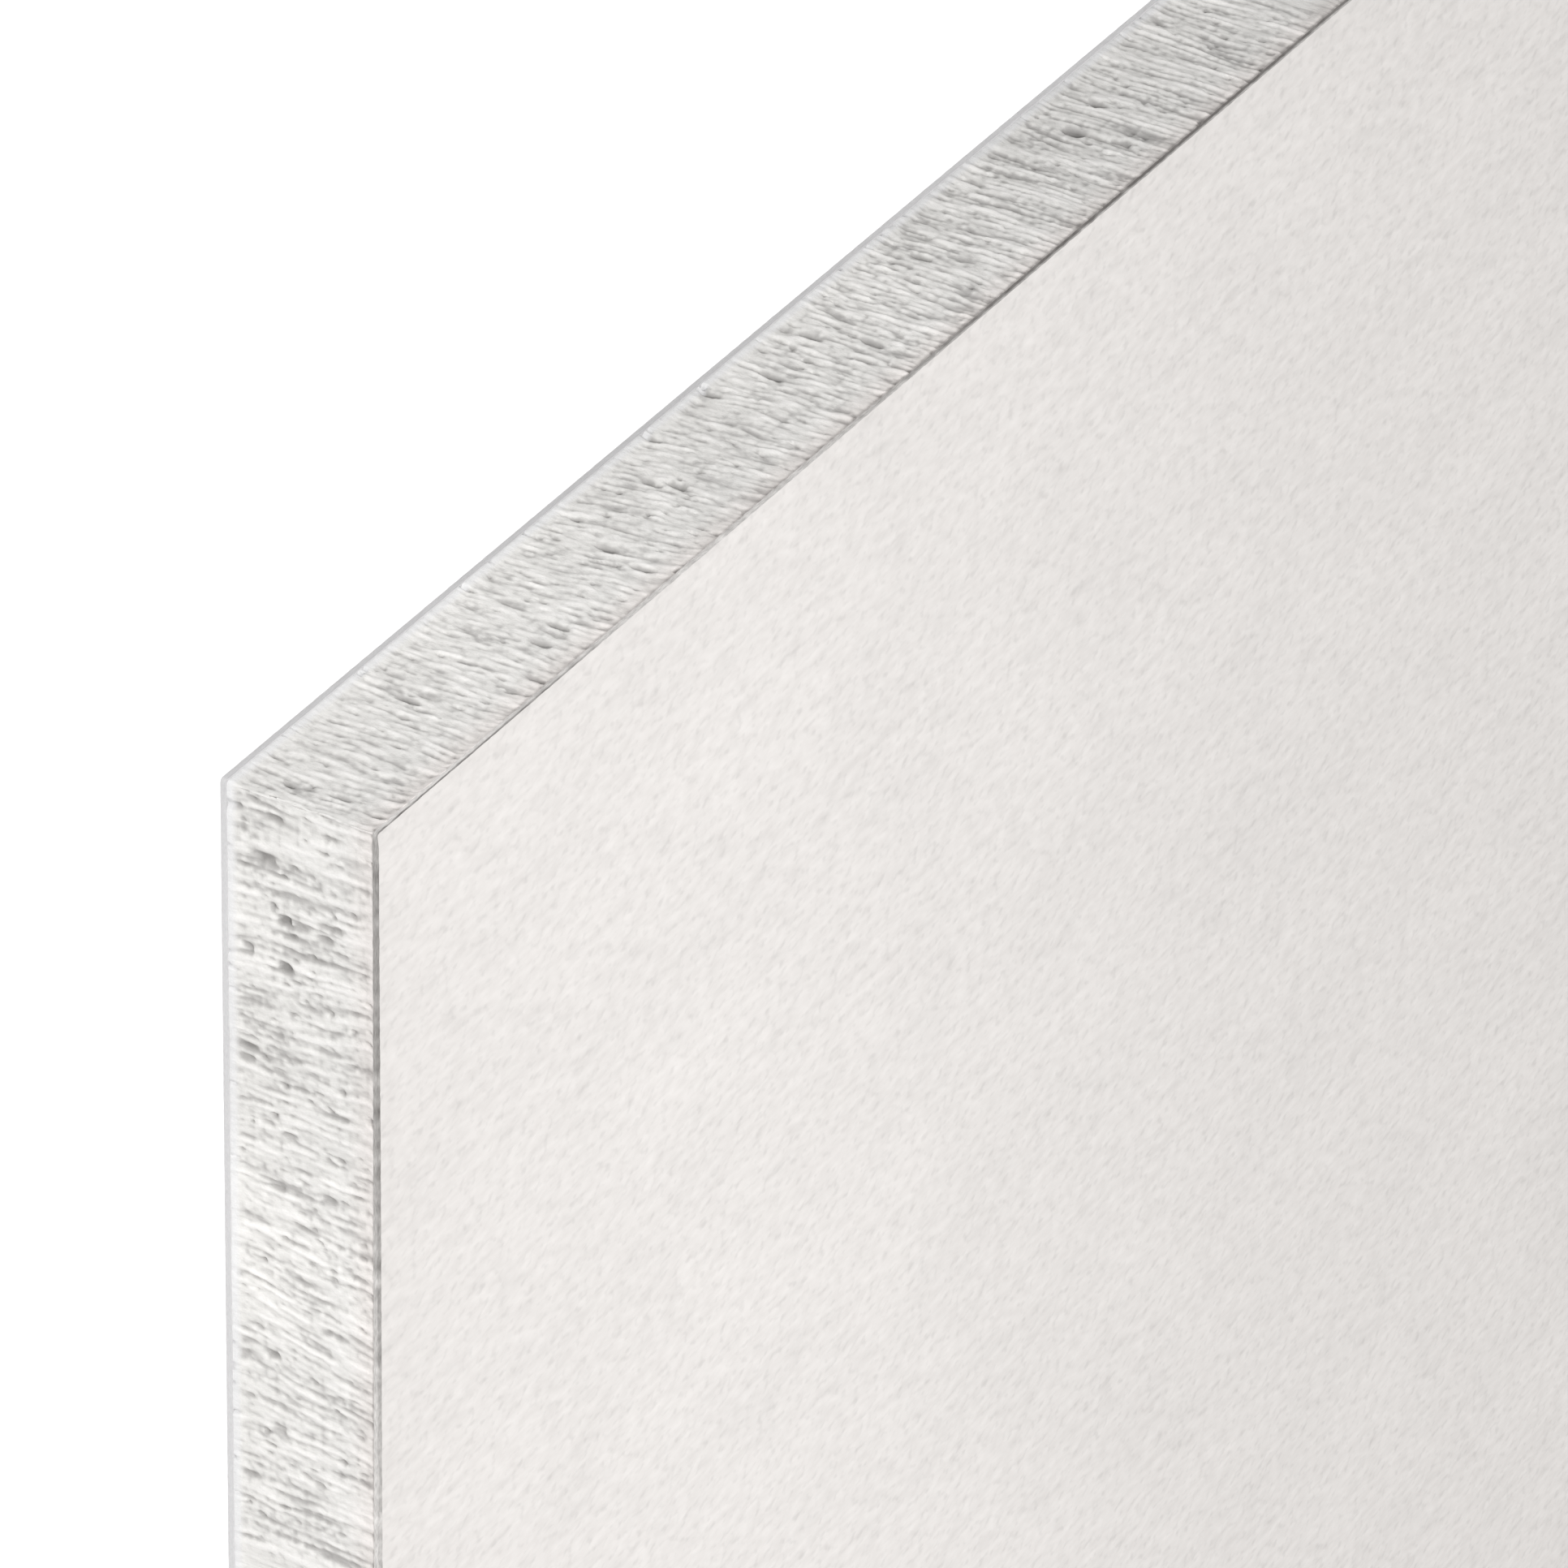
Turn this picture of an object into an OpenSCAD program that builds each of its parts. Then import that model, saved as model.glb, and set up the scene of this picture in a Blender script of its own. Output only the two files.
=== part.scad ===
// Drywall sheet, lying on its back with the face side up.
// A cast gypsum core is bonded between two paper liners, and the sheet is cut square on all four sides,
// so every cut edge shows the section: back paper, core, face paper.
// Units are millimetres. X runs along the length, Y across the width and Z up through the thickness.
// The origin is the middle of the back face.

/* [Sheet] */
// Length of the sheet, along the paper's fibres
sheet_length = 2438.4; // [600:0.1:4900]
// Width of the sheet, across the paper's fibres
sheet_width = 1219.2; // [300:0.1:1400]

/* [Section] */
// Thickness of the gypsum core between the two liners
core_thickness = 11.85; // [5:0.05:25]
// Thickness of the ivory liner on the face side
face_paper_thickness = 0.4; // [0.2:0.05:1.2]
// Thickness of the grey liner on the back side
back_paper_thickness = 0.45; // [0.2:0.05:1.2]

/* [Hidden] */

// The layers are stacked upwards from the back face, each bonded to the one below
back_paper_bottom = 0;
core_bottom = back_paper_bottom + back_paper_thickness;
face_paper_bottom = core_bottom + core_thickness;

// Outline that all the layers share, because one cut trims them together
module cut_outline() {
    square([sheet_length, sheet_width], center = true);
}

// One flat layer of the section
module layer(bottom, thickness) {
    translate([0, 0, bottom])
        linear_extrude(height = thickness)
            cut_outline();
}

module back_paper() {
    color("#dcdbdc")
        layer(back_paper_bottom, back_paper_thickness);
}

module gypsum_core() {
    color("#e4e3de")
        layer(core_bottom, core_thickness);
}

module face_paper() {
    color("#eeeae7")
        layer(face_paper_bottom, face_paper_thickness);
}

back_paper();
gypsum_core();
face_paper();
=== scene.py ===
# Drywall sheet lying on its back: ivory face paper, gypsum core with sawn edges, grey back paper.
# Lengths are in metres, as in the frame, and small ones are written as millimetres times mm.
import math

import bpy
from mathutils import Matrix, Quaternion, Vector, noise


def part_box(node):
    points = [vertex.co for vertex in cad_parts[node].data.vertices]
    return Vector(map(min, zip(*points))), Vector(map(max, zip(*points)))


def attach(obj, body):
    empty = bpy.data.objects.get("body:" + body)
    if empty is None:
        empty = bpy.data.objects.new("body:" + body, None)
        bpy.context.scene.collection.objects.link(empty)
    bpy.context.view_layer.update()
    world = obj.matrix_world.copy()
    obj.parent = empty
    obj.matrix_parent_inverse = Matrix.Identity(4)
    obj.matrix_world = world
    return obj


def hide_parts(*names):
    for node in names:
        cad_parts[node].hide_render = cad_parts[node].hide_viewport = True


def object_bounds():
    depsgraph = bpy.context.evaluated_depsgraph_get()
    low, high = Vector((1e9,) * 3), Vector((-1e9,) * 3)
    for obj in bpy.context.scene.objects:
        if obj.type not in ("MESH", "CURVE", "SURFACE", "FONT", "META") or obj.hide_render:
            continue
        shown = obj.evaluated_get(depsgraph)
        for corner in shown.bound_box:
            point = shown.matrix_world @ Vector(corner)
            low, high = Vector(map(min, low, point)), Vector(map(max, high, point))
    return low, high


mm = 0.001
quarterTurn = math.pi / 2

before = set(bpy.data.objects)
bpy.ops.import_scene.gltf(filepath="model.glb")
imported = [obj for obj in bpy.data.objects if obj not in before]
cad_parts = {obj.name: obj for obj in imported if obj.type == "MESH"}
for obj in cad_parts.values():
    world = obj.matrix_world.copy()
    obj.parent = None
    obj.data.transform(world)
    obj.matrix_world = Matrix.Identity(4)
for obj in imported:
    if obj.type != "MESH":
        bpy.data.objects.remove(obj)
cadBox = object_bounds()
sheetLow, sheetHigh = cadBox
seenCorner = Vector((sheetLow.x, sheetHigh.y, sheetHigh.z))  # the corner that the picture shows
print("frame loaded with", ", ".join(sorted(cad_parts)))


def addObject(name, data):
    thing = bpy.data.objects.new(name, data)
    bpy.context.scene.collection.objects.link(thing)
    return thing


# Camera
shot = {
    "pictureSize": 1932,  # pixels along each side of the picture
    "focalPixels": 14754,  # a long lens, worked out from the converging edges
    "sensorWidth": 36.0,
    "cornerPixel": (464.6, 1028.1),  # where the face's corner shows
    "distance": 0.809,  # from that corner to the lens
    "bearing": 142.61,  # degrees round from +X, seen from above
    "height": 25.18,  # degrees above the floor
    "roll": 109.18,  # the picture shows the sheet standing, so the camera is turned on its side
    "farthest": 200,  # nothing beyond this is drawn
}


def placeCamera():
    bearing = math.radians(shot["bearing"])
    height = math.radians(shot["height"])
    back = Vector((
        math.cos(height) * math.cos(bearing),
        math.cos(height) * math.sin(bearing),
        math.sin(height),
    ))
    turn = back.to_track_quat("Z", "Y") @ Quaternion((0, 0, 1), math.radians(shot["roll"]))
    right = turn @ Vector((1, 0, 0))
    up = turn @ Vector((0, 1, 0))
    pixel = shot["distance"] / shot["focalPixels"]  # size of a pixel at the corner
    middle = shot["pictureSize"] / 2
    cornerX, cornerY = shot["cornerPixel"]
    data = bpy.data.cameras.new("camera")
    data.sensor_width = shot["sensorWidth"]
    data.lens = shot["focalPixels"] / shot["pictureSize"] * shot["sensorWidth"]
    data.clip_end = shot["farthest"]
    camera = addObject("camera", data)
    camera.rotation_mode = "QUATERNION"
    camera.rotation_quaternion = turn
    camera.location = (
        seenCorner
        + right * (middle - cornerX) * pixel
        + up * (cornerY - middle) * pixel
        + back * shot["distance"]
    )
    bpy.context.scene.camera = camera
    print("camera placed, lens", round(data.lens, 1), "mm, looking down", shot["height"], "degrees")


# Node helpers
opaque = (1.0,)  # alpha that follows a colour
full = (0.0, 1.0)
usual = (0.3, 0.7)  # most of a noise lies in this range


def newMaterial(name):
    material = bpy.data.materials.new(name)
    material.use_nodes = True
    material.node_tree.nodes.clear()
    return material, material.node_tree


def addNode(tree, kind, inputs=None, **settings):
    node = tree.nodes.new(kind)
    for name, value in settings.items():
        setattr(node, name, value)
    for name, value in (inputs or {}).items():
        if isinstance(value, bpy.types.NodeSocket):
            tree.links.new(value, node.inputs[name])
        else:
            node.inputs[name].default_value = value
    return node


def stretchedCoords(tree, sizes):
    # object coordinates counted in grains of the given size along X, Y and Z
    coords = addNode(tree, "ShaderNodeTexCoord")
    scale = tuple(1 / size for size in sizes)
    mapping = addNode(tree, "ShaderNodeMapping", {"Vector": coords.outputs["Object"], "Scale": scale})
    return mapping.outputs["Vector"]


def noiseField(tree, sizes, detail, roughness=0.5, distortion=0.0):
    field = addNode(
        tree,
        "ShaderNodeTexNoise",
        {
            "Vector": stretchedCoords(tree, sizes),
            "Scale": 1.0,
            "Detail": detail,
            "Roughness": roughness,
            "Distortion": distortion,
        },
    )
    return field.outputs["Fac"]


def meshField(tree, name):
    return addNode(tree, "ShaderNodeAttribute", attribute_name=name).outputs["Fac"]


def remap(tree, value, given, wanted):
    # stretch the given range of a value to the wanted one
    inputs = {"Value": value}
    inputs["From Min"], inputs["From Max"] = given
    inputs["To Min"], inputs["To Max"] = wanted
    return addNode(tree, "ShaderNodeMapRange", inputs).outputs["Result"]


def tint(tree, share, first, second, blend="MIX"):
    # the first colour, with the second laid over it by share
    node = addNode(tree, "ShaderNodeMix", data_type="RGBA", blend_type=blend)
    sockets = {"Factor_Float": share, "A_Color": first, "B_Color": second}
    for socket in node.inputs:
        value = sockets.get(socket.identifier)
        if isinstance(value, bpy.types.NodeSocket):
            tree.links.new(value, socket)
        elif value:
            socket.default_value = value + opaque
    return next(out for out in node.outputs if out.identifier == "Result_Color")


def rampColour(tree, value, stops):
    # colour read between the stops of a ramp
    node = addNode(tree, "ShaderNodeValToRGB", {"Fac": value})
    elements = node.color_ramp.elements
    while len(elements) < len(stops):
        elements.new(1.0)
    for element, (position, colour) in zip(elements, stops):
        element.position = position
        element.color = colour + opaque
    return node.outputs["Color"]


def shade(tree, colour, value):
    # colour times a grey value
    node = addNode(tree, "ShaderNodeVectorMath", {"Scale": value}, operation="SCALE")
    tree.links.new(colour, node.inputs[0])
    return node.outputs["Vector"]


def finishMaterial(tree, colour, looks, height):
    # dull surface in the given colour, with bumps from the height
    bump = addNode(tree, "ShaderNodeBump", {"Height": height, "Distance": looks["bump"], "Strength": 1.0})
    shader = addNode(
        tree,
        "ShaderNodeBsdfPrincipled",
        {
            "Base Color": colour,
            "Roughness": looks["roughness"],
            "Specular IOR Level": looks["specular"],
            "Normal": bump.outputs["Normal"],
        },
    )
    addNode(tree, "ShaderNodeOutputMaterial", {"Surface": shader.outputs["BSDF"]})


# Cut outline, shared by the three layers
cut = {
    "fineStep": 0.1 * mm,  # column spacing where the picture looks closely
    "paperSteps": 3,  # the papers' columns are this many times wider
    "sideReach": 131 * mm,  # how far that goes along the long side from the seen corner
    "endReach": 63 * mm,  # and along the end
    "cornerStep": 2.0 * mm,  # spacing at the other corners
    "cornerReach": 40 * mm,
    "arcPieces": 2,  # a corner's arc has at least this many
    "growth": 1.2,  # each column further on is this much wider
    "longestStep": 50 * mm,
    "ringMargin": 25 * mm,  # the flat caps close in coarse steps on a ring this far inside the outline
    "sharpAngle": 70,  # degrees; gentler edges are shaded smooth
}


def stopsFromEnd(length, reach, step):
    stops = [0.0]
    while stops[-1] + step < length / 2:
        stops.append(stops[-1] + step)
        if stops[-1] > reach:
            step = min(step * cut["growth"], cut["longestStep"])
    return stops


def stopsAlong(length, headFine, tailFine):
    # distances along one side, close together at both ends
    head = stopsFromEnd(length, *headFine)
    tail = stopsFromEnd(length, *tailFine)
    return head + [length - stop for stop in reversed(tail)]


def straightColumns(start, way, outward, radius, stops, run):
    # columns on one side, each with its point, outward normal, distance run and step
    columns = []
    for place, stop in enumerate(stops):
        step = stops[min(place + 1, len(stops) - 1)] - stops[max(place - 1, 0)]
        point = start + way * (radius + stop)
        columns.append((point, outward.copy(), run + stop, step / 2))
    return columns


def arcColumns(centre, way, outward, radius, step, run):
    # and round the corner that follows it
    length = radius * quarterTurn
    pieces = max(cut["arcPieces"], round(length / step))
    columns = []
    for piece in range(1, pieces):
        angle = quarterTurn * piece / pieces
        normal = outward * math.cos(angle) + way * math.sin(angle)
        columns.append((centre + normal * radius, normal, run + length * piece / pieces, step))
    return columns


def cutOutline(low, high, radius, fineStep):
    # columns round the sheet, counter-clockwise from the seen corner
    plain = (cut["cornerReach"], max(cut["cornerStep"], fineStep))
    corners = [
        Vector((low.x, high.y)),
        Vector((low.x, low.y)),
        Vector((high.x, low.y)),
        Vector((high.x, high.y)),
    ]
    ends = [
        ((cut["endReach"], fineStep), plain),
        (plain, plain),
        (plain, plain),
        (plain, (cut["sideReach"], fineStep)),
    ]
    columns = []
    run = 0.0
    for index, (headFine, tailFine) in enumerate(ends):
        start = corners[index]
        finish = corners[(index + 1) % len(corners)]
        way = (finish - start).normalized()
        outward = Vector((way.y, -way.x))
        straight = (finish - start).length - 2 * radius
        stops = stopsAlong(straight, headFine, tailFine)
        columns += straightColumns(start, way, outward, radius, stops, run)
        run += straight
        centre = finish - way * radius - outward * radius
        columns += arcColumns(centre, way, outward, radius, tailFine[1], run)
        run += radius * quarterTurn
    return [(point, normal, fromSeenCorner(where, run), step) for point, normal, where, step in columns]


def fromSeenCorner(where, run):
    # distances are counted both ways from the seen corner: down the end above zero, along the side below
    return where if where < run / 2 else where - run


def capFaces(points, loop):
    # flat cap: short triangles from the outline to a coarser ring inside it, and one face inside that
    margin = cut["ringMargin"]
    ring = []
    partners = []
    for corner in loop:
        x, y, level = points[corner]
        inside = (
            min(max(x, sheetLow.x + margin), sheetHigh.x - margin),
            min(max(y, sheetLow.y + margin), sheetHigh.y - margin),
        )
        if not ring or math.dist(inside, points[ring[-1]][:2]) > margin:
            ring.append(len(points))
            points.append((*inside, level))
        partners.append(ring[-1])
    faces = []
    for place, corner in enumerate(loop):
        following = (place + 1) % len(loop)
        faces.append((corner, loop[following], partners[place]))
        if partners[following] != partners[place]:
            faces.append((loop[following], partners[following], partners[place]))
    faces.append(ring)
    return faces


def bandFaceCount(columns, rows):
    return len(columns) * (len(rows) - 1)


def bandMesh(name, columns, rows, depthAt):
    # closed solid: a band of quads round the outline and a flat cap at top and bottom
    points = []
    for point, normal, where, step in columns:
        for row in rows:
            inner = point - normal * depthAt(where, row, step)
            points.append((inner.x, inner.y, row))
    count = len(columns)
    height = len(rows)
    faces = []
    for column in range(count):
        here = column * height
        after = (column + 1) % count * height
        for row in range(height - 1):
            faces.append((here + row, after + row, after + row + 1, here + row + 1))
    faces += capFaces(points, [column * height + height - 1 for column in range(count)])
    faces += capFaces(points, [column * height for column in reversed(range(count))])
    mesh = bpy.data.meshes.new(name)
    mesh.from_pydata(points, [], faces)
    mesh.set_sharp_from_angle(angle=math.radians(cut["sharpAngle"]))
    for polygon in mesh.polygons[bandFaceCount(columns, rows):]:
        polygon.use_smooth = False
    mesh.update()
    return addObject(name, mesh)


def addField(piece, name, values, inside=0.0):
    # one value for each point of the band, and another for the caps' rings
    attribute = piece.data.attributes.new(name, "FLOAT", "POINT")
    spare = len(piece.data.vertices) - len(values)
    attribute.data.foreach_set("value", values + [inside] * spare)


# Map that the materials are baked through, in its pixels.
# Without one of its own, the thin edge gets too few of them
bakeMap = {
    "name": "OFBake",
    "size": 1024,
    "gap": 6,  # round the strips and the caps
    "leastWidth": 1.0,  # of a column
}


def bandPlaces(columns, rows, lay):
    # the band lies in strips from the bottom up
    size = bakeMap["size"]
    gap = bakeMap["gap"]
    height = lay["stripHeight"]
    lines = [height * row / (len(rows) - 1) for row in range(len(rows))]
    places = []
    left = gap
    strip = gap
    for index, column in enumerate(columns):
        following = columns[(index + 1) % len(columns)]
        width = max(bakeMap["leastWidth"], (following[0] - column[0]).length * lay["perMetre"])
        if left + width > size - gap:
            left = gap
            strip += height + gap
        right = left + width
        for low, high in zip(lines, lines[1:]):
            low += strip
            high += strip
            places += [(left, low), (right, low), (right, high), (left, high)]
        left = right
    print("    strips reach", round(strip + height), "of", size, "pixels")
    return places


def capPlaces(polygons, points, top, lay):
    # and each cap in a box of its own, given by its left, low, width and height
    span = sheetHigh - sheetLow
    places = []
    for polygon in polygons:
        for corner in polygon.vertices:
            point = points[corner].co
            boxLeft, boxLow, boxWidth, boxHeight = lay["top" if point.z == top else "bottom"]
            places.append((
                boxLeft + boxWidth * (point.x - sheetLow.x) / span.x,
                boxLow + boxHeight * (point.y - sheetLow.y) / span.y,
            ))
    return places


def layMap(piece, columns, rows, lay):
    mesh = piece.data
    places = bandPlaces(columns, rows, lay)
    places += capPlaces(mesh.polygons[bandFaceCount(columns, rows):], mesh.vertices, rows[-1], lay)
    layer = mesh.uv_layers.new(name=bakeMap["name"])
    layer.uv.foreach_set("vector", [value / bakeMap["size"] for place in places for value in place])


def triangleCount(piece):
    return sum(len(polygon.vertices) - 2 for polygon in piece.data.polygons)


def wave(x, y, layer):
    return noise.noise(Vector((x, y, layer)))


# Gypsum core. Depths, widths and heights of the sawn relief are in mm
core = {
    "cornerRadius": 0.5 * mm,
    "rows": 40,
    "sawnDepth": 0.34,  # mean depth of the sawn face behind the papers' edges
    "leastSawn": 0.4,  # share of it on the dense band
    "swell": (0.06, 4.0, 6.0, 11.3),  # depth, width along the edge, height up the edge, slice of the noise
    "streak": (0.17, 0.42, 3.8, 23.5),
    "scratch": (0.02, 0.24, 2.0, 37.2),
    "crumb": (0.065, 0.44, 0.48, 47.9),
    "wander": (0.45, 6.0, 5.0, 3.1),  # the strokes stray sideways
    "jitter": (0.12, 1.3, 1.6, 7.7),
    "rough": (0.08, 6.0, 6.0, 13.7),  # some stretches tore more than others
    "meanRough": 0.97,
    "void": (1.1, 0.54, 0.80, 91.7),  # air bubbles that the saw opened
    "voidLevel": 0.43,  # only the peaks above this are opened
    "calmTear": 0.6,  # weak tears are held back to this share, and strong ones grow by the next
    "strongTear": 1.1,
    "denseBand": 0.8,  # smooth gypsum next to the back paper
    "leastShown": 0.2,  # share of the tears that shows on it
    "calmTop": 1.5,  # and calmer gypsum under the face paper
    "leastTop": 0.75,  # share of the tears that shows right under it
    "undercutHeight": 0.5,  # the core draws back under the face paper over this height
    # the undercut also sets the colour: painted shadow under the face paper, and painted light where the
    # core stands forward
    "undercutTone": 1.0,
    "paintedLightForward": 0.3,  # where it stands forward instead, it is painted paler, painted light against the shade of its downward tilt
    "nickSpread": 0.6,  # how softly a nick's sides fade, in shares of its width
    "nickFade": 0.3,  # and its ends
    "nickReach": 3,  # beyond this many times either, nothing is left of it
    # swells, grooves, crumbs and nicks darken the colour by their depth: painted shade in the hollows
    "swellTone": 0.2,
    "streakTone": 1.6,  # how much more the grooves and crumbs show in the colour than in the depth, as painted shade
    "crumbTone": 3.2,
    "fullRelief": 0.3,  # columns wider than this carry less of the relief
    "map": {
        "stripHeight": 46,
        "perMetre": 2000,
        "top": (6, 920, 200, 98),
        "bottom": (212, 920, 200, 98),
    },
}
# Nicks from the saw, in a few kinds: width, half their height, and depth
nickKinds = {
    "small": (0.55, 0.3, 0.3),
    "plain": (0.6, 0.3, 0.4),
    "wide": (0.8, 0.25, 0.6),
    "long": (0.65, 0.65, 0.4),
    "thin": (0.45, 0.5, 0.43),
    "thick": (0.5, 0.5, 0.55),
    "pit": (0.75, 0.5, 0.86),
    "gouge": (0.55, 2.3, 0.2),
}
# Distance from the seen corner and height of each one's middle, judged to a quarter of a millimetre
endNicks = {
    "small": [
        (1.5, 0.5), (1.5, 3.75), (1.75, 8.25), (21.25, 1.5), (22.25, 1.25),
        (27, 3), (27.5, 4.75), (31.75, 8), (56.5, 7), (58, 1.25),
    ],
    "plain": [(9.75, 5.75), (10, 7.75), (32.25, 3.75), (46.75, 3.25), (53, 3.75)],
    "wide": [(9.75, 4.5), (13.5, 4.5)],
    "long": [(5, 2.75), (9, 8.25)],
    "gouge": [(9.5, 6.5)],
}
sideNicks = {
    "thin": [
        (3.25, 7.5), (16, 4.75), (27, 8.5), (29.5, 8.5), (39, 9.25),
        (54, 0.75), (71.5, 7.75), (74, 7.25), (97.5, 1.75), (108.25, 6),
    ],
    "thick": [
        (40, 5.75), (49, 4), (49.75, 5.5), (61.5, 1), (66, 3.5),
        (72.25, 3), (86.25, 4), (108.5, 8), (112.5, 3.5),
    ],
    "pit": [(108, 4.25)],
    "gouge": [(108.25, 6.5)],
}
# Values that change along the cut, down the end and along the side,
# as (distance from the seen corner in mm, value)
tornShare = {
    "end": [(0, 0.92), (3, 1.01), (14, 1.0), (18, 0.9), (60, 0.94), (200, 0.9)],
    "side": [(0, 0.9), (3, 0.84), (30, 0.75), (55, 0.73), (80, 1.07), (95, 1.18), (200, 0.9)],
}
strokeLength = {  # how long the saw's strokes are, in shares of their usual height
    "end": [(0, 1.1), (8, 1.4), (14, 0.9), (30, 0.75), (48, 0.7), (55, 1.0), (200, 1.0)],
    "side": [(0, 0.7), (10, 0.5), (35, 0.4), (60, 0.45), (88, 0.5), (102, 1.2), (120, 1.3), (200, 1.0)],
}
strokeLean = {  # how far they lean away from the seen corner on their way up
    "end": [(0, 0.0), (8, 0.0), (16, -0.07), (26, -0.04), (37, 0.09), (46, 0.19), (54, 0.04), (200, 0.0)],
    "side": [(0, 0.0), (25, 0.0), (42, 0.2), (58, 0.12), (74, -0.03), (90, 0.0), (200, 0.0)],
}
paleness = {  # how bright the gypsum is
    "end": [(0, 0.99), (14, 0.985), (25, 0.965), (33, 1.035), (41, 1.035), (48, 0.99), (200, 0.95)],
    "side": [
        (0, 0.98), (15, 0.985), (30, 1.005), (50, 0.915),
        (76, 0.92), (95, 0.85), (112, 0.83), (200, 0.92),
    ],
}
drawnBack = {  # how far the core draws back under the face paper, or stands forward where below zero; its colour follows, with painted shadow where drawn back and painted light where forward
    "end": [(0, 0.0), (2, -0.1), (10, -0.22), (28, -0.18), (40, -0.03), (60, -0.02), (200, 0.03)],
    "side": [(0, 0.0), (2, -0.24), (13, -0.24), (20, 0.0), (50, 0.0), (80, 0.16), (120, 0.18), (200, 0.03)],
}
dustShare = {  # gypsum dust on the face paper's cut edge
    "end": [(0, 0.55), (2, 0.31), (16, 0.33), (24, 0.4), (34, 0.55), (48, 0.83), (60, 0.86), (200, 0.48)],
    "side": [
        (0, 0.55), (2, 1.1), (13, 1.05), (21, 0.72), (32, 0.84), (40, 0.86),
        (60, 0.73), (80, 0.13), (95, 0.0), (120, 0.0), (200, 0.48),
    ],
}
plyShare = {  # how much of the ivory top ply is left at the top of that edge
    "end": [(0, 0.55), (2, 0.23), (26, 0.23), (38, 0.33), (60, 0.62), (200, 0.73)],
    "side": [
        (0, 0.4), (1, 0.2), (14, 0.22), (23, 0.28), (32, 0.83),
        (60, 0.78), (85, 0.52), (120, 0.52), (200, 0.73),
    ],
}
wornBack = {  # how far the top of the face paper's edge is worn back
    "end": [(0, 0.0), (1, 0.17), (12, 0.22), (30, 0.34), (60, 0.45), (200, 0.05)],
    "side": [(0, 0.0), (120, 0.0), (200, 0.05)],
}
greyness = {  # how pale the back paper's cut edge is
    "end": [(0, 1.0), (2, 1.05), (60, 1.06), (200, 1.0)],
    "side": [(0, 1.0), (10, 0.94), (30, 0.93), (48, 0.87), (68, 0.88), (90, 0.94), (200, 1.0)],
}


def valueAt(stops, along):
    # the value at a place on the cut, read between its stops
    stops = stops["end"] if along > 0 else stops["side"]
    distance = abs(along)
    for (start, first), (finish, last) in zip(stops, stops[1:]):
        if distance <= finish:
            return first + (last - first) * (distance - start) / (finish - start)
    return stops[-1][1]


def atLeast(least, share):
    # a share that never goes below the least one
    return least + (1 - least) * share


def ripple(kind, along, up):
    depth, width, height, layer = core[kind]
    return depth * wave(along / width, up / height, layer)


def tear(kind, along, up):
    # a ripple whose strong strokes stand out from calm ground
    depth, width, height, layer = core[kind]
    value = wave(along / width, up / height, layer)
    return depth * value * (core["calmTear"] + core["strongTear"] * abs(value))


def bubbleDepth(along, up):
    depth, width, height, layer = core["void"]
    return depth * max(0.0, wave(along / width, up / height, layer) - core["voidLevel"])


def nickDepth(along, up):
    # deepest nick at this place, with sides and ends that fade out
    nicks = endNicks if along > 0 else sideNicks
    deepest = 0.0
    for kind, places in nicks.items():
        width, half, depth = nickKinds[kind]
        for distance, middle in places:
            aside = (abs(along) - distance) / (core["nickSpread"] * width)
            beyond = max(abs(up - middle) - half, 0.0) / core["nickFade"]
            if abs(aside) < core["nickReach"] and beyond < core["nickReach"]:
                deepest = max(deepest, depth * math.exp(-aside * aside - beyond * beyond))
    return deepest


def strokePlace(along, up, thickness):
    # place across the saw's strokes, which lean and stray
    lean = valueAt(strokeLean, along) * (up - thickness / 2)
    across = along - math.copysign(1, along) * lean
    across += ripple("wander", along, up) + ripple("jitter", along, up)
    return across


def tearsAt(along, across, up):
    # depths of the streaks and the crumbs
    rough = core["meanRough"] + ripple("rough", along, up)
    rough *= valueAt(tornShare, along)
    stroke = up / valueAt(strokeLength, along)
    streak = rough * (tear("streak", across, stroke) + tear("scratch", across, stroke))
    return streak, rough * tear("crumb", across, up)


def tornAt(up, thickness):
    # share of the tears that shows: the dense band by the back paper is smooth
    torn = min(1.0, up / core["denseBand"]) ** 2
    return torn * atLeast(core["leastTop"], min(1.0, (thickness - up) / core["calmTop"]))


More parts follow.
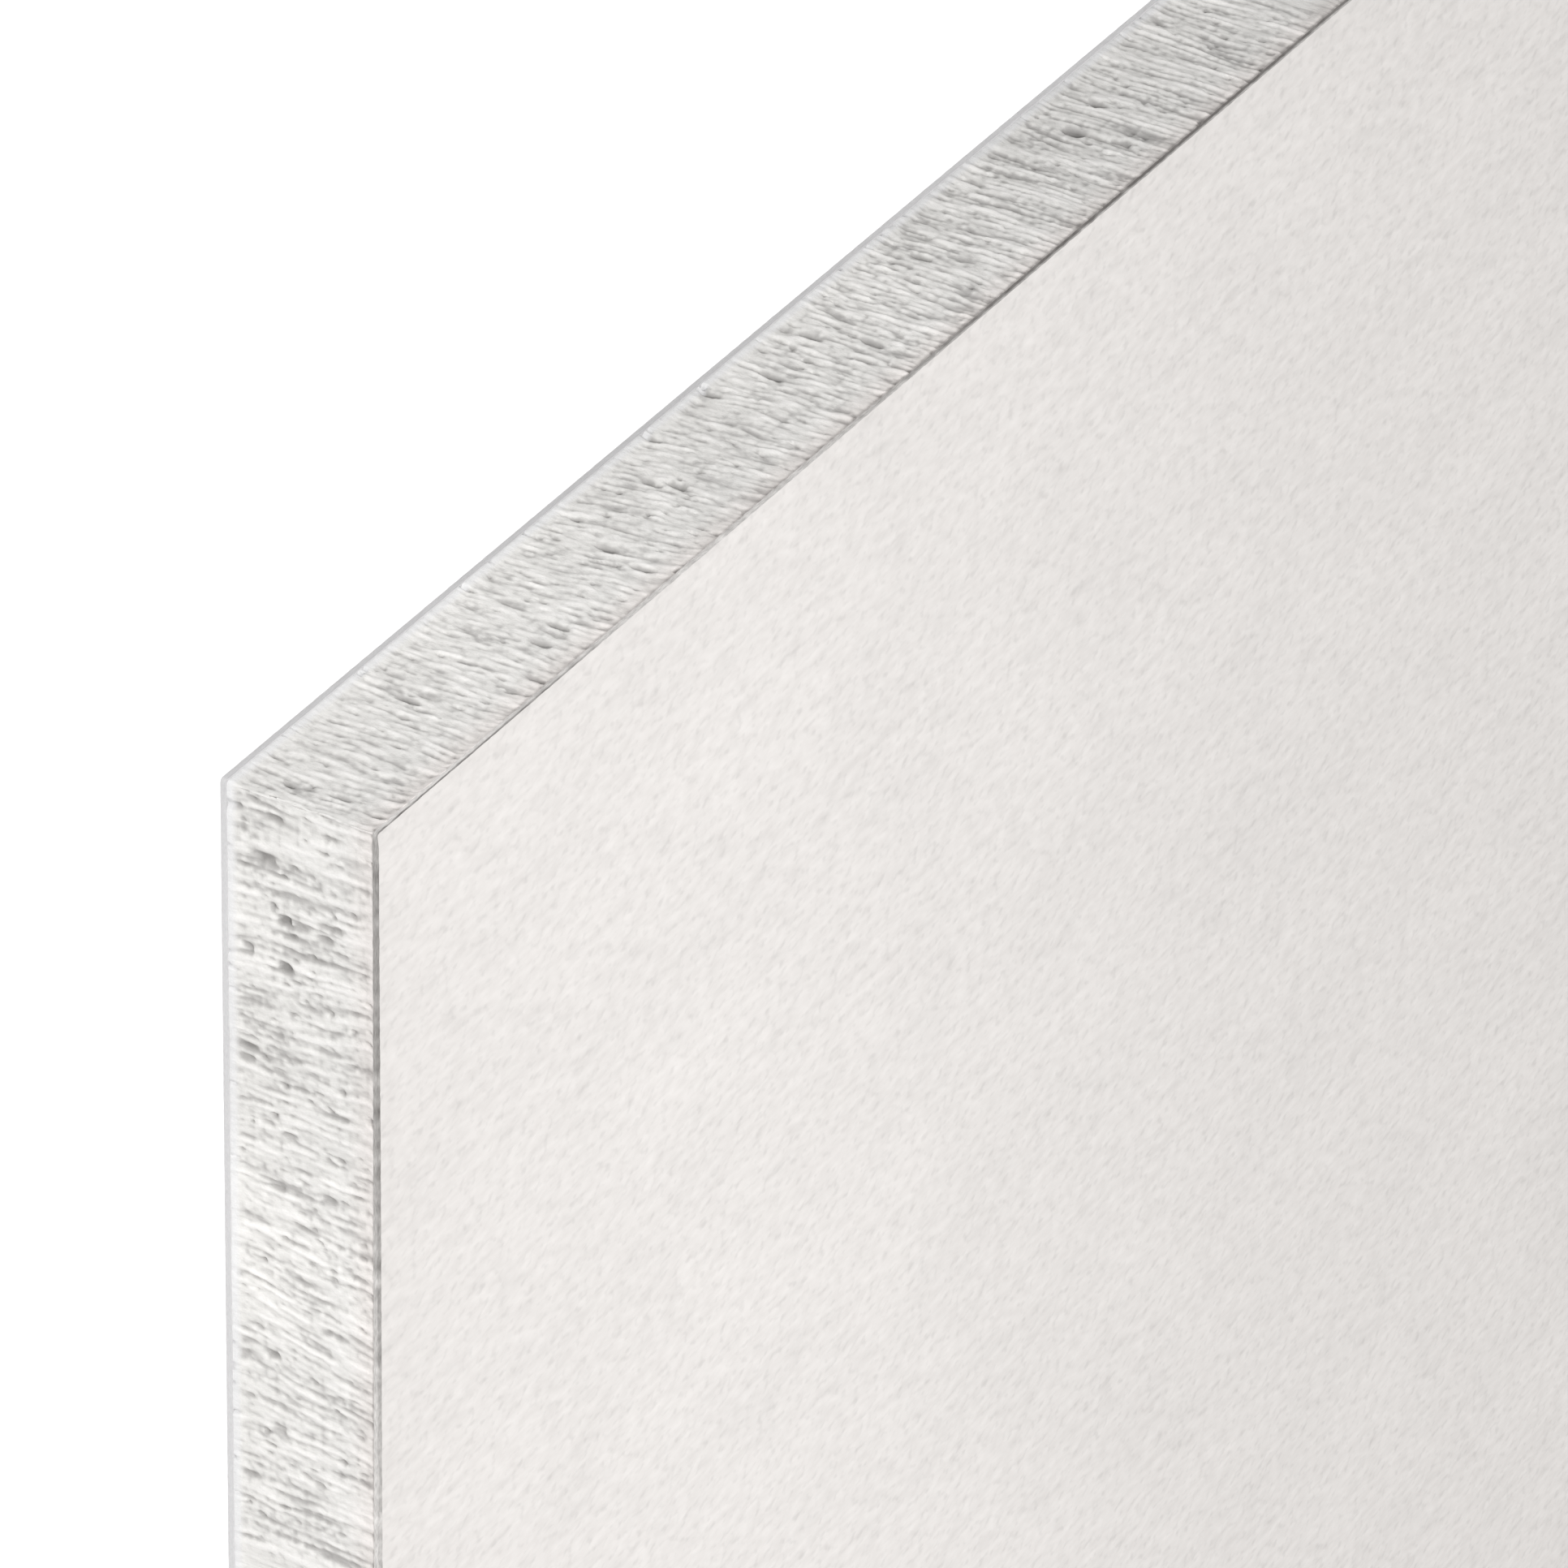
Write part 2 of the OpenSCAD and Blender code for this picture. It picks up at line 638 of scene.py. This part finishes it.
def makeCore():
    low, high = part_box("gypsum_core")
    columns = cutOutline(low, high, core["cornerRadius"], cut["fineStep"])
    thickness = (high.z - low.z) / mm
    rows = [low.z + (high.z - low.z) * row / core["rows"] for row in range(core["rows"] + 1)]
    grooves = []
    shares = []
    pales = []

    def depthAt(where, row, step):
        up = (row - low.z) / mm
        along = where / mm
        across = strokePlace(along, up, thickness)
        streak, crumb = tearsAt(along, across, up)
        nick = max(nickDepth(along, up), bubbleDepth(across, up))
        swell = ripple("swell", along, up)
        torn = tornAt(up, thickness)
        share = min(1.0, core["fullRelief"] * mm / step) ** 2
        shown = atLeast(core["leastShown"], torn) * share
        relief = (streak + crumb) * shown + nick * share
        # the colour's depth, with painted shade in the hollows and nicks and painted highlight on the
        # ridges
        tone = (core["streakTone"] * streak + core["crumbTone"] * crumb) * shown + nick * share
        # under the face paper the colour's tone follows the undercut: painted shadow where the core draws
        # back, painted light where it stands forward
        topGap = max(0.0, 1 - (thickness - up) / core["undercutHeight"])
        under = topGap * valueAt(drawnBack, along)
        grooves.append(tone + core["swellTone"] * swell + core["undercutTone"] * under)
        shares.append(share)
        # the pale value is raised where the core stands forward: painted light
        pales.append(valueAt(paleness, along) * (1 - core["paintedLightForward"] * min(0.0, under)))
        sawn = core["sawnDepth"] * atLeast(core["leastSawn"], torn)
        return max(0.0, sawn + swell + relief + under) * mm

    piece = bandMesh("gypsum_core_sawn", columns, rows, depthAt)
    addField(piece, "groove", grooves)
    addField(piece, "sawn", shares, 1.0)
    addField(piece, "pale", pales, 1.0)
    layMap(piece, columns, rows, core["map"])
    piece.data.materials.append(gypsumMaterial(low, high))
    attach(piece, "root")
    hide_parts("gypsum_core")
    print("gypsum core made,", triangleCount(piece), "triangles")


gypsum = {
    "toneDepths": (-0.2, 0.5),  # the colour goes by the grooves' depth in mm, on a ramp over this range: painted shade, deeper is darker, and painted highlight on the ridges
    "tones": [
        (0.08, (0.93, 0.914, 0.893)),  # ridge, painted highlight
        (0.28, (0.838, 0.825, 0.80)),  # plain
        (0.52, (0.56, 0.547, 0.532)),  # groove, painted shade
        (0.95, (0.33, 0.32, 0.31)),  # pit, painted shade
    ],
    "dense": (0.88, 0.88, 0.89),  # by the back paper
    "denseBand": (0.3 * mm, 0.7 * mm),  # it fades out between these heights
    "denseShare": (0.75, 0.0),
    "warm": (1.0, 0.97, 0.965),  # under the face paper
    "warmBand": (2.4 * mm, 0.5 * mm),  # it fades in between these depths
    "streaks": {"sizes": (0.45 * mm, 0.45 * mm, 2.6 * mm), "detail": 3, "distortion": 0.3},
    "streakShade": (1.03, 0.96),
    "paintedRange": (0.25, 0.75),  # where there is no relief, the streaks stand for these depths
    "paintedDepths": (-0.2, 0.2),
    "grain": {"sizes": (0.13 * mm, 0.13 * mm, 0.2 * mm), "detail": 3},
    "grainShade": (0.97, 1.03),
    "bump": 0.04 * mm,
    "roughness": 0.95,
    "specular": 0.2,
}


def gypsumMaterial(low, high):
    material, tree = newMaterial("gypsum")
    grain = noiseField(tree, **gypsum["grain"])
    streaks = noiseField(tree, **gypsum["streaks"])
    painted = remap(tree, streaks, gypsum["paintedRange"], gypsum["paintedDepths"])
    # the depth picks the colour off the ramp: painted shade in hollows, painted highlight on ridges
    depth = addNode(tree, "ShaderNodeMix", {"Factor": meshField(tree, "sawn")}, data_type="FLOAT")
    tree.links.new(painted, depth.inputs["A"])
    tree.links.new(meshField(tree, "groove"), depth.inputs["B"])
    tone = remap(tree, depth.outputs["Result"], gypsum["toneDepths"], full)
    colour = rampColour(tree, tone, gypsum["tones"])
    coords = addNode(tree, "ShaderNodeTexCoord")
    place = addNode(tree, "ShaderNodeSeparateXYZ", {"Vector": coords.outputs["Object"]})
    denseBand = [low.z + edge for edge in gypsum["denseBand"]]
    dense = remap(tree, place.outputs["Z"], denseBand, gypsum["denseShare"])
    colour = tint(tree, dense, colour, gypsum["dense"])
    warmBand = [high.z - edge for edge in gypsum["warmBand"]]
    warm = remap(tree, place.outputs["Z"], warmBand, full)
    colour = tint(tree, warm, colour, gypsum["warm"], "MULTIPLY")
    colour = shade(tree, colour, meshField(tree, "pale"))
    colour = shade(tree, colour, remap(tree, streaks, usual, gypsum["streakShade"]))
    colour = shade(tree, colour, remap(tree, grain, usual, gypsum["grainShade"]))
    finishMaterial(tree, colour, gypsum, grain)
    return material


# Face paper. Depths and lengths of its edge are in mm
face = {
    "cornerRadius": 0.3 * mm,
    "inset": 0.06,  # mean depth of its cut edge
    "raggedDepth": 0.06,
    "raggedLength": 0.7,
    "raggedRise": 3,  # steps of the noise for each mm of height
    "raggedLayer": 61.0,  # slice of the noise
    "plies": (0.0, 0.5, 0.75, 1.0),  # heights of the edge's rows, in shares of the thickness
    "wear": (0.0, 0.0, 0.35, 1.0),  # and how much of the wear each row takes
    "patchDepth": 0.31,  # how uneven the dust is
    "patchLength": 1.3,
    "patchLayer": 71.0,
    "map": {
        "stripHeight": 8,
        "perMetre": 1000,
        "top": (6, 190, 1012, 828),
        "bottom": (6, 134, 100, 50),
    },
}


def raggedness(paper, along, up):
    # how far a paper's cut edge strays, from -1 to 1
    return wave(along / paper["raggedLength"], up * paper["raggedRise"], paper["raggedLayer"])


def makeFacePaper():
    low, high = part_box("face_paper")
    columns = cutOutline(low, high, face["cornerRadius"], cut["paperSteps"] * cut["fineStep"])
    rows = [low.z + (high.z - low.z) * ply for ply in face["plies"]]
    pales = []

    def depthAt(where, row, step):
        along = where / mm
        wear = face["wear"][rows.index(row)]
        patch = wave(along / face["patchLength"], 0.0, face["patchLayer"])
        pales.append(valueAt(plyShare if wear else dustShare, along) + face["patchDepth"] * patch)
        ragged = face["raggedDepth"] * raggedness(face, along, (row - low.z) / mm)
        worn = valueAt(wornBack, along) * wear
        return max(0.0, face["inset"] + ragged + worn) * mm

    piece = bandMesh("face_paper_sheet", columns, rows, depthAt)
    addField(piece, "pale", pales)
    layMap(piece, columns, rows, face["map"])
    piece.data.materials.append(facePaperMaterial())
    piece.data.materials.append(facePaperEdgeMaterial())
    for polygon in piece.data.polygons[:bandFaceCount(columns, rows)]:
        polygon.material_index = 1
    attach(piece, "root")
    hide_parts("face_paper")
    print("face paper made,", triangleCount(piece), "triangles")


ivory = {
    "fibres": {"sizes": (1.8 * mm, 0.85 * mm, 0.85 * mm), "detail": 2},
    "fibreRange": (0.2, 0.8),
    "fibreColours": ((0.809, 0.777, 0.753), (0.925, 0.893, 0.869)),
    "clouds": {"sizes": (20 * mm, 13 * mm, 13 * mm), "detail": 3},
    "cloudShade": (0.98, 1.02),
    "strands": {"sizes": (4.0 * mm, 1.3 * mm, 1.3 * mm), "detail": 2},
    "strandRange": (0.5, 0.75),
    "strandShade": (1.0, 0.945),
    "flecks": {"sizes": (0.95 * mm, 0.7 * mm, 0.7 * mm), "detail": 1},
    "fleckRange": (0.54, 0.78),
    "fleckShade": (1.0, 0.89),
    "bump": 0.02 * mm,
    "roughness": 0.85,
    "specular": 0.25,
}


def facePaperMaterial():
    material, tree = newMaterial("ivory face paper")
    fibres = noiseField(tree, **ivory["fibres"])
    strands = noiseField(tree, **ivory["strands"])
    clouds = noiseField(tree, **ivory["clouds"])
    flecks = noiseField(tree, **ivory["flecks"])
    colour = tint(tree, remap(tree, fibres, ivory["fibreRange"], full), *ivory["fibreColours"])
    colour = shade(tree, colour, remap(tree, clouds, usual, ivory["cloudShade"]))
    colour = shade(tree, colour, remap(tree, strands, ivory["strandRange"], ivory["strandShade"]))
    colour = shade(tree, colour, remap(tree, flecks, ivory["fleckRange"], ivory["fleckShade"]))
    finishMaterial(tree, colour, ivory, fibres)
    return material


cutPlies = {
    "colours": ((0.19, 0.178, 0.17), (0.78, 0.758, 0.737)),  # bare, and under dust or the top ply
    "plies": {"sizes": (0.6 * mm, 0.6 * mm, 0.08 * mm), "detail": 3},
    "plyShade": (0.8, 1.2),
    "bump": 0.05 * mm,
    "roughness": 0.95,
    "specular": 0.1,
}


def facePaperEdgeMaterial():
    material, tree = newMaterial("cut edge of face paper")
    plies = noiseField(tree, **cutPlies["plies"])
    colour = tint(tree, meshField(tree, "pale"), *cutPlies["colours"])
    colour = shade(tree, colour, remap(tree, plies, usual, cutPlies["plyShade"]))
    finishMaterial(tree, colour, cutPlies, plies)
    return material


# Back paper
back = {
    "cornerRadius": 0.3 * mm,
    "raggedDepth": 0.06,
    "raggedLength": 0.8,
    "raggedRise": 3,
    "raggedLayer": 83.0,
    "map": {
        "stripHeight": 8,
        "perMetre": 1000,
        "top": (6, 134, 100, 50),
        "bottom": (6, 190, 1012, 828),
    },
}


def makeBackPaper():
    low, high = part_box("back_paper")
    columns = cutOutline(low, high, back["cornerRadius"], cut["paperSteps"] * cut["fineStep"])
    rows = [low.z, (low.z + high.z) / 2, high.z]
    pales = []

    def depthAt(where, row, step):
        along = where / mm
        pales.append(valueAt(greyness, along))
        return back["raggedDepth"] * (1 + raggedness(back, along, (row - low.z) / mm)) / 2 * mm

    piece = bandMesh("back_paper_sheet", columns, rows, depthAt)
    addField(piece, "pale", pales, 1.0)
    layMap(piece, columns, rows, back["map"])
    piece.data.materials.append(backPaperMaterial())
    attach(piece, "root")
    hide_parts("back_paper")
    print("back paper made,", triangleCount(piece), "triangles")


greyPaper = {
    "fibres": {"sizes": (1.4 * mm, 0.35 * mm, 0.1 * mm), "detail": 4, "roughness": 0.6},
    "colours": ((0.57, 0.565, 0.57), (0.77, 0.765, 0.77)),
    "bump": 0.03 * mm,
    "roughness": 0.9,
    "specular": 0.2,
}


def backPaperMaterial():
    material, tree = newMaterial("grey back paper")
    fibres = noiseField(tree, **greyPaper["fibres"])
    colour = tint(tree, fibres, *greyPaper["colours"])
    colour = shade(tree, colour, meshField(tree, "pale"))
    finishMaterial(tree, colour, greyPaper, fibres)
    return material


# Floor, light and background
studio = {
    "floorHalf": 60.0,
    "floorGap": 0.02 * mm,  # between the floor and the sheet
    "floorColour": (0.82, 0.82, 0.82),
    "floorShown": (0.9, 0.9, 0.9),  # its colour for the camera
    "floorGlow": 0.3,  # lifts the lit floor to white for the camera
    "white": (1.0, 1.0, 1.0),
    "whiteStrength": 1.0,
    "skyStrength": 0.40,
    "sunFrom": (-0.62, 0.42, 0.66),
    "sunStrength": 2.02,
    "sunAngle": 15.0,
    "stripFrom": (31 * mm, 70 * mm),  # the strip lamp hangs this far in from the seen end and side
    "stripAbove": 90 * mm,
    "stripWidth": 60 * mm,
    "stripLength": 0.36,
    "stripPower": 0.0395,
}


def either(tree, first, second):
    node = addNode(tree, "ShaderNodeMath", operation="MAXIMUM")
    tree.links.new(first, node.inputs[0])
    tree.links.new(second, node.inputs[1])
    return node.outputs["Value"]


def bySight(tree, lighting, shown):
    # one shader for the light on the sheet, another for the camera and for what mirrors would show
    path = addNode(tree, "ShaderNodeLightPath")
    seen = either(tree, path.outputs["Is Camera Ray"], path.outputs["Is Glossy Ray"])
    seen = either(tree, seen, path.outputs["Is Transmission Ray"])
    mix = addNode(tree, "ShaderNodeMixShader", {"Fac": seen})
    tree.links.new(lighting, mix.inputs[1])
    tree.links.new(shown, mix.inputs[2])
    return mix.outputs["Shader"]


def floorMaterial():
    material, tree = newMaterial("pale floor")
    bounce = addNode(tree, "ShaderNodeBsdfDiffuse", {"Color": studio["floorColour"] + opaque})
    shown = addNode(tree, "ShaderNodeBsdfDiffuse", {"Color": studio["floorShown"] + opaque})
    glow = addNode(tree, "ShaderNodeEmission", {"Strength": studio["floorGlow"]})
    lit = addNode(tree, "ShaderNodeAddShader")
    tree.links.new(shown.outputs["BSDF"], lit.inputs[0])
    tree.links.new(glow.outputs["Emission"], lit.inputs[1])
    surface = bySight(tree, bounce.outputs["BSDF"], lit.outputs["Shader"])
    addNode(tree, "ShaderNodeOutputMaterial", {"Surface": surface})
    return material


def makeFloor():
    half = studio["floorHalf"]
    level = sheetLow.z - studio["floorGap"]
    mesh = bpy.data.meshes.new("floor")
    mesh.from_pydata(
        [(-half, -half, level), (half, -half, level), (half, half, level), (-half, half, level)],
        [],
        [(0, 1, 2, 3)],
    )
    floor = addObject("floor", mesh)
    mesh.materials.append(floorMaterial())
    print("floor laid")


def makeBackground():
    world = bpy.data.worlds.new("studio")
    bpy.context.scene.world = world
    world.use_nodes = True
    tree = world.node_tree
    tree.nodes.clear()
    white = studio["white"] + opaque
    sky = addNode(tree, "ShaderNodeBackground", {"Color": white, "Strength": studio["skyStrength"]})
    plain = addNode(tree, "ShaderNodeBackground", {"Color": white, "Strength": studio["whiteStrength"]})
    surface = bySight(tree, sky.outputs["Background"], plain.outputs["Background"])
    addNode(tree, "ShaderNodeOutputWorld", {"Surface": surface})


def hangSun():
    data = bpy.data.lights.new("soft key", "SUN")
    data.energy = studio["sunStrength"]
    data.angle = math.radians(studio["sunAngle"])
    sun = addObject("soft key", data)
    sun.rotation_mode = "QUATERNION"
    sun.rotation_quaternion = Vector(studio["sunFrom"]).to_track_quat("Z", "Y")


def hangStrip():
    data = bpy.data.lights.new("strip lamp", "AREA")
    data.shape = "RECTANGLE"
    data.size = studio["stripWidth"]
    data.size_y = studio["stripLength"]
    data.energy = studio["stripPower"]
    strip = addObject("strip lamp", data)
    fromEnd, fromSide = studio["stripFrom"]
    strip.location = seenCorner + Vector((fromEnd, -fromSide, studio["stripAbove"]))
    strip.visible_camera = False


def lightStudio():
    makeBackground()
    hangSun()
    hangStrip()
    bpy.context.scene.view_settings.view_transform = "Standard"
    print("studio lit")


placeCamera()
makeCore()
makeFacePaper()
makeBackPaper()
makeFloor()
lightStudio()
